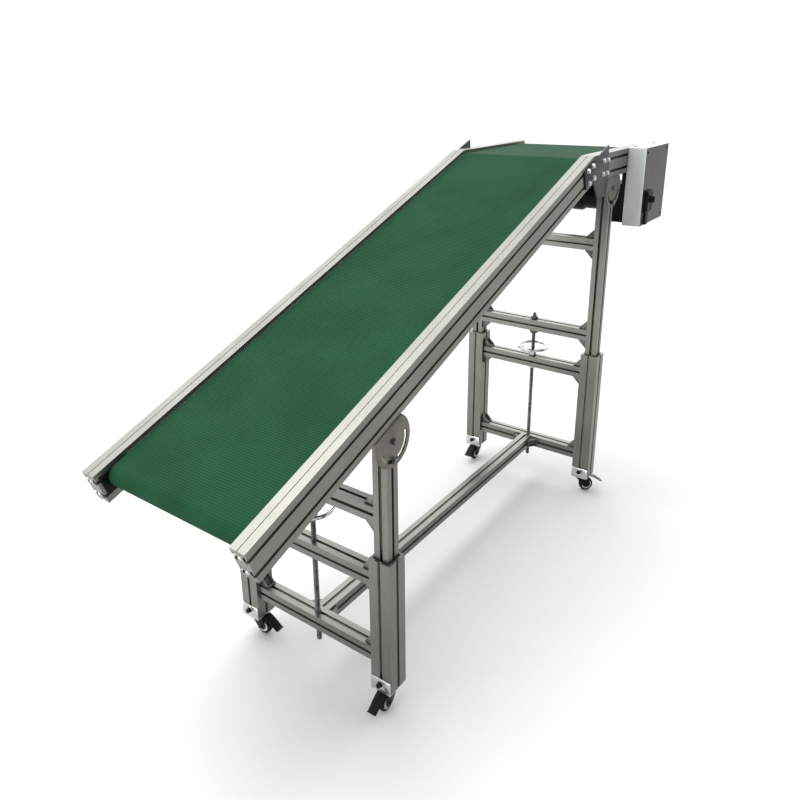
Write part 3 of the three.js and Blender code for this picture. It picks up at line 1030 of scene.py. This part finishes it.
# ---------------------------------------------------------------- lift
@dataclass
class Lift:
    """Leadscrew, handwheel and beam fittings of one leg frame."""

    end: str
    wheel: float
    body: str
    pitch: float = 5.0
    radius: float = 7.0
    ring: float = 51.0
    tube: float = 5.5
    low: float = 83.0

    def screw(self) -> bpy.types.Object:
        """Models the threaded rod with its collar, nut and pointed end.

        Returns:
            The leadscrew.
        """
        x, low, b = LEG_X[self.end], self.low, BEAM_HEIGHT[self.end]["upper"]
        high = b - 30
        root, crest = self.radius - 1.5, self.radius
        thread = chain("thread", [(x + root, 0, low - 10), (x + root, 0, low - 9), (x + crest, 0, low - 7.6),
                                  (x + crest, 0, low - 6.4), (x + root, 0, low - 5)])
        finish_modifier(thread, "SCREW", axis="Z", steps=16, render_steps=16, screw_offset=self.pitch * MM,
                        iterations=int((high - low) / self.pitch) + 4, use_merge_vertices=True,
                        merge_threshold=0.01 * MM, object=self.axis_marker())
        bpy.data.objects.remove(bpy.data.objects["thread_axis"])
        with editing(thread):
            for height, outward in ((low + 2, -Z), (high, Z)):
                bpy.ops.mesh.select_all(action="SELECT")
                bpy.ops.mesh.bisect(
                    plane_co=at((x, 0, height)), plane_no=outward, use_fill=True, clear_outer=True)
        tidy(thread)
        tip = turned("tip", (x, 0, low), Z, [(0, 0), (4.6, 0), (5.6, 1.4), (5.6, 3), (0, 3)], 24)
        top = turned("collar", (x, 0, b), Z, [
            (0, -33), (13, -33), (15, -31.5), (15, -21.5), (14, -20.6), (6.4, -20.6), (6.4, 20.6), (13, 20.6),
            (13, 21.8), (6, 22.2), (6, 31), (6.8, 31), (6.8, 38), (0.8, 45.8), (0, 46)], 32)
        hexagon = [(0, 0), (11.6, 0), (12.6, 1), (12.6, 7), (11.4, 8), (0, 8)]
        nut = turned("nut", (x, 0, b + 21.8), Z, hexagon, 6)
        parts = [smooth(thread), smooth(tip), smooth(top), soften(nut, 0.4)]
        return joined(f"threaded_screw_{self.end}", parts)

    def axis_marker(self) -> bpy.types.Object:
        """Puts an empty on the screw's axis, which the thread turns round.

        Returns:
            The empty.
        """
        marker = bpy.data.objects.new("thread_axis", None)
        marker.location = at((LEG_X[self.end], 0, 0))
        bpy.context.collection.objects.link(marker)
        bpy.context.view_layer.update()
        return marker

    def handwheel(self) -> bpy.types.Object:
        """Models the ring, the four dished spokes and the hub.

        Returns:
            The handwheel.
        """
        x, z = LEG_X[self.end], self.wheel
        steps = 14
        turns = [2 * math.pi * i / steps for i in range(steps + 1)]
        section = [(self.ring + self.tube * math.cos(a), self.tube * math.sin(a)) for a in turns]
        rim = turned("rim", (x, 0, z), Z, section, 64)
        hub = turned("hub", (x, 0, z), Z, [
            (7.6, -33.6), (11.4, -33.6), (13, -32.4), (13, -15), (16.5, -13), (16.5, -9.5), (13, -7.6),
            (7.6, -7.2), (7.6, -33.6)], 32)
        spoke = block("spoke", (x + 13, -6, z - 13.5), (x + 18, 6, z - 9.5))
        path = ((9, 3.5, 0.85), (10, 4.6, 0.85), (9, 3.0, 0.9), (4, 0.6, 1.0))
        with editing(spoke):
            choose_faces(spoke, lambda middle, normal: normal.x > 0.9)
            reach, rise = 18.0, -11.5
            for out, up, scale in path:
                push((out, 0, up))
                reach, rise = reach + out, rise + up
                squeeze((1, scale, 1), (x + reach, 0, z + rise))
        soften(spoke, 1.4)
        spokes = [spoke]
        for i in (1, 2, 3):
            quarter = Matrix.Rotation(i * math.pi / 2, 4, "Z")
            spokes.append(copy_of(spoke, f"spoke_{i}", about((x, 0, z), quarter)))
        wheel = joined(f"spoked_handwheel_{self.end}", [smooth(rim), smooth(hub), *spokes])
        wheel.data.transform(about((x, 0, z), Matrix.Rotation(math.radians(22), 4, "Z")))
        return wheel

    def bush(self) -> bpy.types.Object:
        """Models the short threaded bush that holds the screw under the middle beam.

        Returns:
            The bush.
        """
        x, under = LEG_X[self.end], BEAM_HEIGHT[self.end]["mid"] - BEAM_HALF - AIR
        below = [(8.2, 0), (13, 0), (13, -3.4), (11.6, -4.6), (11.6, -8), (8.2, -8), (8.2, 0)]
        return smooth(turned(f"screw_bush_{self.end}", (x, 0, under), Z, below, 32))

    def build(self) -> None:
        """Builds this end's lift."""
        dress(self.screw(), SCREW_STEEL, self.body, f"leadscrew_{self.end}")
        dress(self.handwheel(), CHROME, self.body, f"handwheel_{self.end}")
        dress(self.bush(), ZINC, "base")


# ---------------------------------------------------------------- bed
@dataclass
class BedHardware:
    """Kink plates, half-moon pivot plates, end screws and bearing plates of the bed."""

    bolt_rows: tuple[float, ...] = (-60, -24, 72, 106)
    pivot_drop: float = 36.0
    moon: float = 62.0
    slot: float = 46.0
    slot_half: float = 4.5
    thick: float = 4.0

    def kink_plates(self) -> None:
        """Builds the plates that join the slope to the level, with eight bolts each."""
        outline = [
            bed_point(-84, 70), bed_point(-26, 74), (508, 1107), (578, 1107), (578, 1124), (590, 1172),
            (574, 1266), bed_point(-84, 12),
        ]
        holes = [bed_point(along, depth) for along in self.bolt_rows for depth in (20, 60)]
        for side, sign in SIDES.items():
            inner = sign * (RAIL_OUTER + AIR)
            corners = [(x, inner, z) for x, z in outline]
            piece = plate(f"kink_joint_{side}", corners, (0, sign * self.thick, 0))
            dress(soften(piece, 0.8), OXIDE, "bed", f"kink_plate_{side}")
            places = [((x, inner + sign * (self.thick - 0.1), z), sign * Y) for x, z in holes]
            dress(FASTENERS.group(f"kink_bolts_{side}", FASTENERS.hex_bolt, places), ZINC, "bed")

    def pivot(self, end: str) -> Pair:
        """Finds the middle of the pivot bolts of one leg frame.

        Args:
            end: f or r.

        Returns:
            Its X and Z.
        """
        depth = RAIL_HIGH + self.pivot_drop
        if end == "r":
            return LEG_X["r"], KINK[1] - depth
        along = (LEG_X["f"] - KINK[0] + depth * SLOPE_UP.x) / SLOPE.x
        return bed_point(along, depth)

    def half_moon(self, name: str, sign: int, spot: Pair, tilt: float) -> bpy.types.Object:
        """Models one pivot plate with its arc slot and its foot under the rail.

        Args:
            name: the plate's name.
            sign: 1 on the left side and -1 on the right.
            spot: the pivot's X and Z.
            tilt: the rail's slope in radians.

        Returns:
            The plate.
        """
        x, z = spot
        top = self.pivot_drop - AIR
        start = math.asin(top / self.moon)
        steps = 40
        angles = [-math.pi - start + i * (math.pi + 2 * start) / steps for i in range(steps + 1)]
        inner = sign * (RAIL_OUTER + AIR)
        rim = [(x + self.moon * math.cos(a), inner, z + self.moon * math.sin(a)) for a in angles]
        moon = plate(name, rim, (0, sign * self.thick, 0))
        ends = [math.radians(-174 + 168 * i / 24) for i in range(25)]
        track = [(self.slot + self.slot_half, a) for a in ends]
        track += [(self.slot - self.slot_half, a) for a in reversed(ends)]
        outline = [(x + r * math.cos(a), inner - sign * 5, z + r * math.sin(a)) for r, a in track]
        soften(cut(moon, plate("slot", outline, (0, sign * 15, 0))), 0.6)
        half = self.moon * math.cos(start)
        reach = sorted((sign * (RAIL_OUTER - 36), sign * (RAIL_OUTER + 1)))
        foot = block("foot", (x - half, reach[0], z + top - 3), (x + half, reach[1], z + top))
        whole = joined(name, [moon, soften(foot, 0.8)])
        whole.data.transform(about((x, 0, z), Matrix.Rotation(-tilt, 4, "Y")))
        return whole

    def pivots(self) -> None:
        """Builds the four half-moon plates and the bolts that hold them."""
        for end, tilt, bed_body, frame_body in (
            ("f", TILT, "front_brackets", "front_frame"), ("r", 0.0, "bed", "rear_frame"),
        ):
            x, z = self.pivot(end)
            for side, sign in SIDES.items():
                moon = self.half_moon(f"half_moon_{end}{side}", sign, (x, z), tilt)
                dress(moon, MILL_STEEL, bed_body, f"pivot_plate_{end}{side}")
                face = sign * (RAIL_OUTER + self.thick + AIR)
                seat = face + sign * 0.1
                bolts = [((x, seat, z), sign * Y), ((x, seat, z - self.slot), sign * Y)]
                group = FASTENERS.group(f"pivot_bolts_{end}{side}", FASTENERS.hex_bolt, bolts)
                dress(group, SCREW_STEEL, frame_body)
                down = Matrix.Rotation(-tilt, 3, "Y")
                under = []
                for reach in (-36, 36):
                    spot = Vector((x, 0, z)) + down @ Vector((reach, 0, self.pivot_drop - 3.4))
                    under.append(((spot.x, face - sign * 24, spot.z), down @ -Z))
                dress(FASTENERS.group(f"foot_screws_{end}{side}", FASTENERS.button, under), ZINC, bed_body)

    def rail_ends(self) -> None:
        """Builds the end screws of the rails."""
        places = []
        for y in LEG_Y.values():
            for depth in (20, 60):
                x, z = bed_point(-INCLINE, depth)
                places.append(((x, y, z), -SLOPE))
                places.append(((KINK[0] + LEVEL, y, KINK[1] - depth), X))
        dress(FASTENERS.group("rail_end_screws", FASTENERS.button, places), ZINC, "bed")

    def tail_bearings(self) -> None:
        """Builds the bearing plates of the tail drum, inside the rails."""
        ax, az = bed_point(*TAIL_AXLE)
        for side, sign in SIDES.items():
            corners = [bed_point(-1562, 12), bed_point(-1562, 62), bed_point(-1490, 62), bed_point(-1490, 12)]
            outline = [(x, sign * RAIL_INNER, z) for x, z in corners]
            carrier = plate(f"tail_bearing_{side}", outline, (0, -sign * 3, 0))
            with editing(carrier):
                choose_faces(carrier, lambda middle, normal: normal.y * sign < -0.9)
                sink(3, 0.8)
            bore = turned("bore", (ax, sign * 190, az), sign * Y, [(0, 0), (8, 0), (8, 30), (0, 30)], 32)
            dress(soften(cut(carrier, bore), 0.5), ENAMEL, "bed")

    def build(self) -> None:
        """Builds all of the bed's hardware."""
        self.kink_plates()
        self.pivots()
        self.rail_ends()
        self.tail_bearings()
        repaint("slider_bed", GALVANISED)


@dataclass(frozen=True)
class Circle:
    """A drum or roller that the belt bends round; side is 1 inside the loop and -1 outside it."""

    x: float
    z: float
    r: float
    side: int = 1


@dataclass
class Belt:
    """Endless ribbed belt with its drums and return rollers."""

    wide: float = 400.0
    thick: float = 2.5
    depth: float = 8.5
    rib: float = 6.2
    valley: float = 0.9
    drum: float = 25.0
    crest: float = 60.0
    small: float = 12.5

    def circles(self) -> list[Circle]:
        """Lists what the belt bends round, clockwise from the tail.

        Returns:
            The circles in order.
        """
        half = TILT / 2

        def on_mitre(depth: float) -> Pair:
            """Returns the point at a depth on the plane that halves the kink."""
            reach = depth / math.cos(half)
            return KINK[0] + reach * math.sin(half), KINK[1] - reach * math.cos(half)

        returns = [on_mitre(60), bed_point(-720, 60), bed_point(-1380, 60)]
        return [
            Circle(*bed_point(*TAIL_AXLE), self.drum),
            Circle(*on_mitre(self.depth + self.thick + self.crest), self.crest),
            Circle(KINK[0] + 420, KINK[1] - 36, self.drum),
            *(Circle(x, z, self.small, -1) for x, z in returns),
        ]

    def track(self) -> list[tuple[Vector, Vector]]:
        """Walks the belt's inner face once round.

        Returns:
            Points of the middle of the belt's thickness, each with the direction towards the outer face.
        """
        circles, half = self.circles(), self.thick / 2
        runs = []
        for a, b in zip(circles, circles[1:] + circles[:1]):
            dx, dz = b.x - a.x, b.z - a.z
            k = b.side * (b.r + half) - a.side * (a.r + half)
            runs.append(math.atan2(dz, dx) - math.acos(k / math.hypot(dx, dz)))
        walk = []
        for i, c in enumerate(circles):
            enter = runs[i - 1]
            turn = runs[i] - enter
            while c.side * turn > 1e-6:
                turn -= c.side * 2 * math.pi
            while c.side * turn < -2 * math.pi:
                turn += c.side * 2 * math.pi
            steps = max(2, math.ceil(abs(turn) / 0.04))
            for j in range(steps + 1):
                phi = enter + turn * j / steps
                inward = Vector((math.cos(phi), 0, math.sin(phi)))
                walk.append((Vector((c.x, 0, c.z)) - inward * c.side * (c.r + half), -inward))
        return walk

    def band(self) -> bpy.types.Object:
        """Models one rib, repeats it along the belt's length and wraps the strip round its track.

        Returns:
            The belt.
        """
        walk = self.track()
        walk.append(walk[0])
        marks = [0.0]
        for (here, _), (there, _) in zip(walk, walk[1:]):
            marks.append(marks[-1] + (there - here).length)
        count = round(marks[-1] / self.rib)
        pitch = marks[-1] / count
        top, foot, low = self.thick / 2, self.thick / 2 - self.valley, -self.thick / 2
        rib = [(0.8, foot), (0.68, top), (0.22, top), (0.1, foot)]
        section = [(0, low), (pitch, low), (pitch, foot), *((pitch * part, z) for part, z in rib), (0, foot)]
        half = self.wide / 2
        strip = plate("ribbed_belt", [(x, -half, z) for x, z in section], (0, self.wide, 0))
        with editing(strip):
            choose_faces(strip, lambda middle, normal: abs(normal.x) > 0.95)
            bpy.ops.mesh.delete(type="FACE")
        finish_modifier(strip, "ARRAY", count=count, use_relative_offset=False, use_constant_offset=True,
                        constant_offset_displace=(pitch * MM, 0, 0), use_merge_vertices=True,
                        merge_threshold=0.05 * MM)
        base, spot = at((0, 0, 0)), 0
        order = sorted(strip.data.vertices, key=lambda vertex: vertex.co.x)
        for vertex in order:
            place = (vertex.co - base) / MM
            while spot < len(marks) - 2 and marks[spot + 1] < place.x:
                spot += 1
            span = max(marks[spot + 1] - marks[spot], 1e-9)
            share = min(max((place.x - marks[spot]) / span, 0.0), 1.0)
            here = walk[spot][0].lerp(walk[spot + 1][0], share)
            out = walk[spot][1].lerp(walk[spot + 1][1], share).normalized()
            vertex.co = at(here + out * place.z + Y * place.y)
        tidy(strip)
        return smooth(strip)

    def build(self) -> None:
        """Builds the belt and the rollers it runs on."""
        dress(self.band(), BELT_COVER, "bed", "belt")
        tail, _, head, *returns = self.circles()
        face, r = self.wide / 2 + 1, self.drum - AIR
        ends = [(0, 217), (7.5, 217), (12, face + 2.6), (12, face), (r - 4, face), (r - 2, face - 2),
                (r, face - 3)]
        drum = turned("tail_drum", (tail.x, 0, tail.z), Y, both_ways(ends), 48)
        dress(smooth(drum), MILL_STEEL, "tail_roller_body", "tail_roller")
        for i, c in enumerate(returns, 1):
            q = self.small - AIR
            ends = [(0, 214), (3.8, 214), (3.8, face), (q - 3, face), (q - 2.4, face - 1.5), (q - 1, face),
                    (q, face - 1)]
            roller = turned(f"return_roll_{i}", (c.x, 0, c.z), Y, both_ways(ends), 32)
            dress(smooth(roller), ZINC, f"return_roller_{i}_body", f"return_roller_{i}")
        repaint("head_roller", MILL_STEEL)


# ---------------------------------------------------------------- drive
@dataclass
class Drive:
    """Guard box, gearmotor, chain and switch at the head."""

    x0: float = 770.0
    x1: float = 1010.0
    z0: float = 982.0
    z1: float = 1242.0
    back: float = -245.3
    deep: float = 60.0
    wall: float = 2.0
    motor: Pair = (888.0, 1045.0)
    barrel: Pair = (888.0, 1052.0)
    head: Pair = (885.0, 1204.0)
    fins: int = 26

    def guard(self) -> None:
        """Builds the folded guard box with its lid seam and screws; the lid plate's dark colour is painted
        shade of the box's -Y side.
        """
        front = self.back - self.deep
        box = block("guard_box", (self.x0, front, self.z0), (self.x1, self.back, self.z1))
        with editing(box):
            choose_faces(box, lambda middle, normal: abs(normal.y) < 0.1 and normal.z < 0.9)
            sink(9, 0.6, each=True)
        finish_modifier(box, "SOLIDIFY", thickness=self.wall * MM, offset=-1, use_even_offset=True)
        tools = [
            turned("bore", (x, self.back - 12, z), Y, [(0, 0), (20, 0), (20, 20), (0, 20)], 32)
            for x, z in (self.motor, self.head)
        ]
        dress(soften(cut(box, *tools), 1.0, 3), POWDER, "bed", "guard_cover")
        # The lid plate covers the box's -Y face in a dark colour that is painted shade of that side; the box
        # itself is silver.
        lid_plate_painted_shade = block("guard_lid_painted_shade", (self.x0 + 1.5, front - 0.25, self.z0 + 1.5),
                          (self.x1 - 1.5, front + 0.7, self.z1 - 1.5))
        with editing(lid_plate_painted_shade):
            choose_faces(lid_plate_painted_shade, lambda middle, normal: normal.y < -0.9)
            sink(2)
        dress(soften(lid_plate_painted_shade, 0.2), LID_STEEL_PAINTED_SHADE, "bed")
        rows = [(x, z) for x in (self.x0 + 16, self.x1 - 16) for z in (self.z0 + 16, self.z1 - 16)]
        lid = [((x, front + 0.1, z), -Y) for x, z in rows]
        top = [((x, self.back - 14, self.z1 - 0.1), Z) for x in (self.x0 + 24, self.x1 - 24)]
        dress(FASTENERS.group("guard_screws", FASTENERS.button, lid + top), BLACK_OXIDE, "bed")

    def gearmotor(self) -> None:
        """Builds the gearbox, the finned motor, its fan cowl and its terminal box."""
        high = 1112.0
        case = block("gearmotor_made", (833, -241, 979), (943, -151, high))
        with editing(case):
            choose_faces(case, lambda middle, normal: abs(normal.z) < 0.1)
            sink(9, 3, each=True)
        soften(case, 2.5, 3)
        neck = block("neck", (833, -241, high - 4), (943, -210, 1159))
        with editing(neck):
            choose_faces(neck, lambda middle, normal: normal.z > 0.9)
            sink(6, 1.5)
        soften(neck, 1.5)
        x, z = self.barrel
        barrel = turned("barrel", (x, -153, z), Y, [
            (0, 0), (46, 0), (46, 8), (41.5, 10), (41.5, 88), (47, 90), (49.6, 94), (49.6, 126), (47, 131),
            (38, 132.6), (37, 130.5), (31, 130.5), (30, 132.6), (24, 132.6), (23, 130.5), (17, 130.5),
            (16, 132.6), (0, 132.6)], 48)
        fin = block("fin", (x - 1.1, -145, z + 40.5), (x + 1.1, -66, z + 46.6))
        with editing(fin):
            choose_faces(fin, lambda middle, normal: normal.z > 0.9)
            squeeze((0.6, 0.985, 1), (x, -105, z + 46.6))
        fins = [fin]
        for i in range(1, self.fins):
            turn = Matrix.Rotation(2 * math.pi * i / self.fins, 4, "Y")
            fins.append(copy_of(fin, f"fin_{i}", about((x, 0, z), turn)))
        box = block("terminal_box", (862, -138, 1094), (914, -82, 1121))
        with editing(box):
            choose_faces(box, lambda middle, normal: normal.z > 0.9)
            sink(2, 1.2)
        hexagon = [(0, 0), (8, 0), (8, 5), (6.5, 6), (6.5, 11), (0, 11)]
        gland = turned("gland", (862.5, -110, 1106), -X, hexagon, 6)
        parts = [case, neck, smooth(barrel), *fins, soften(box, 1.5), soften(gland, 0.4)]
        motor = joined("gearmotor_made", parts)
        shaft, height = self.motor
        bore = turned("bore", (shaft, -252, height), Y, [(0, 0), (10.4, 0), (10.4, 45), (0, 45)], 32)
        dress(cut(motor, bore), CAST_PAINT, "bed", "gearmotor")

    def switch(self) -> None:
        """Builds the selector switch, its rotary knob and a black strip below it."""
        face = self.back - self.deep - AIR
        body = block("switch_case", (792, face - 8, 1026), (850, face, 1100))
        with editing(body):
            choose_faces(body, lambda middle, normal: normal.y < -0.9)
            sink(5)
            push((0, -5, 0))
            sink(3, 0.8)
        dress(soften(body, 1.2), NYLON, "bed", "switch_body")
        # A black strip runs from under the switch down to near the box's lower edge.
        black_strip = block("switch_black_strip", (806, face - 7, 984), (828, face, 1025))
        with editing(black_strip):
            choose_faces(black_strip, lambda middle, normal: normal.y < -0.9)
            sink(3, 1)
        dress(soften(black_strip, 1.0), NYLON, "bed")
        knob = turned("selector_knob", (821, face - 13.4, 1070), -Y, [
            (0, 0), (11.6, 0), (12, 0.8), (11.4, 5.6), (10.4, 6.8), (0, 7.2)], 32)
        bar = block("bar", (817.8, face - 26.6, 1058.6), (824.2, face - 19.6, 1081.4))
        with editing(bar):
            choose_faces(bar, lambda middle, normal: normal.y < -0.9)
            squeeze((0.7, 1, 0.92), (821, face - 26.6, 1070))
        whole = joined("selector_knob", [smooth(knob), soften(bar, 1.0)])
        dress(whole, NYLON, "switch_knob_body", "switch_knob")

    def build(self) -> None:
        """Builds the drive."""
        self.guard()
        self.gearmotor()
        self.switch()
        repaint("motor_sprocket", SCREW_STEEL)
        repaint("drive_chain", SCREW_STEEL)


# ---------------------------------------------------------------- studio
@dataclass
class Studio:
    """Pale floor, soft light and the camera."""

    eye: Triple = (-1.6986, -1.0270, 1.4637)
    yaw: float = 36.97
    pitch: float = -19.21
    roll: float = -1.03
    lens: float = 32.59
    shift: Pair = (0.0224, -0.0833)
    floor_reach: float = 40.0
    bright_side: Triple = (0.45, 0.55, 0.7)
    sky_strength: float = 3.1

    def camera(self) -> None:
        """Sets the camera."""
        yaw, pitch, roll = (math.radians(a) for a in (self.yaw, self.pitch, self.roll))
        ahead = Vector((math.cos(yaw) * math.cos(pitch), math.sin(yaw) * math.cos(pitch), math.sin(pitch)))
        right = Vector((math.sin(yaw), -math.cos(yaw), 0))
        up = right.cross(ahead)
        side = right * math.cos(roll) + up * math.sin(roll)
        over = up * math.cos(roll) - right * math.sin(roll)
        data = bpy.data.cameras.new("camera")
        data.lens, data.sensor_width = self.lens, 36.0
        data.shift_x, data.shift_y = self.shift
        data.clip_end = 60
        camera = bpy.data.objects.new("camera", data)
        turn = Matrix((side, over, -ahead)).transposed().to_4x4()
        camera.matrix_world = Matrix.Translation(self.eye) @ turn
        bpy.context.collection.objects.link(camera)
        bpy.context.scene.camera = camera

    def floor(self) -> None:
        """Lays the plain floor."""
        bpy.ops.object.select_all(action="DESELECT")
        bpy.ops.mesh.primitive_plane_add(size=2 * self.floor_reach, location=(0, 0, -0.0002))
        floor = named("studio_floor")
        material = bpy.data.materials.new("matt_floor_paint")
        material.use_nodes = True
        shader = material.node_tree.nodes["Principled BSDF"]
        shader.inputs["Base Color"].default_value = linear("b8b8b7")
        shader.inputs["Roughness"].default_value = 0.9
        shader.inputs["Specular IOR Level"].default_value = 0.2
        floor.data.materials.append(material)

    def lamp(self, name: str, place: Triple, size: Pair, power: float, aim: Triple = (0, 0, 0.7)) -> None:
        """Hangs one soft panel that looks at the object.

        Args:
            name: the lamp's name.
            place: its middle, in metres.
            size: its two sides, in metres.
            power: its power in watts.
            aim: the point it looks at.
        """
        data = bpy.data.lights.new(name, "AREA")
        data.shape, data.size, data.size_y, data.energy = "RECTANGLE", *size, power
        lamp = bpy.data.objects.new(name, data)
        look = (Vector(aim) - Vector(place)).to_track_quat("-Z", "Y").to_matrix().to_4x4()
        lamp.matrix_world = Matrix.Translation(place) @ look
        bpy.context.collection.objects.link(lamp)

    def sky(self) -> None:
        """Fills the room with light that is brighter above than at the sides."""
        world = bpy.data.worlds.new("studio_world")
        bpy.context.scene.world = world
        world.use_nodes = True
        tree = world.node_tree
        direction = node(tree, "ShaderNodeTexCoord").outputs["Generated"]
        height = node(tree, "ShaderNodeSeparateXYZ", {"Vector": direction}).outputs["Z"]
        lift = ramp(tree, height, [(0.0, grey(0.45)), (0.1, grey(0.5)), (0.3, grey(1.0))])
        facing = {0: direction, 1: self.bright_side}
        towards = node(tree, "ShaderNodeVectorMath", facing, operation="DOT_PRODUCT").outputs["Value"]
        lobe = ramp(tree, towards, [(0.0, grey(0.27)), (0.45, grey(0.66)), (0.8, grey(1.0))])
        tree.links.new(multiplied(tree, lift, lobe), tree.nodes["Background"].inputs["Color"])
        tree.nodes["Background"].inputs["Strength"].default_value = self.sky_strength

    def build(self) -> None:
        """Sets the whole studio."""
        self.camera()
        self.floor()
        self.sky()
        self.lamp("overhead", (-0.6, 0.8, 4.2), (3, 3), 115)
        self.lamp("side_fill", (-4.5, 0.9, 0.7), (3, 1.2), 135)
        bpy.context.scene.view_settings.view_transform = "Standard"


def main() -> None:
    """Builds every part in order."""
    Studio().build()
    Profiles().build()
    CornerBrackets().build()
    Caster().build()
    Lift("f", 483, "front_screw").build()
    Lift("r", 528, "rear_screw").build()
    BedHardware().build()
    Belt().build()
    Drive().build()
    FASTENERS.clear()


if __name__ == "__main__":
    logging.basicConfig(level=logging.INFO, format="%(message)s")
    main()
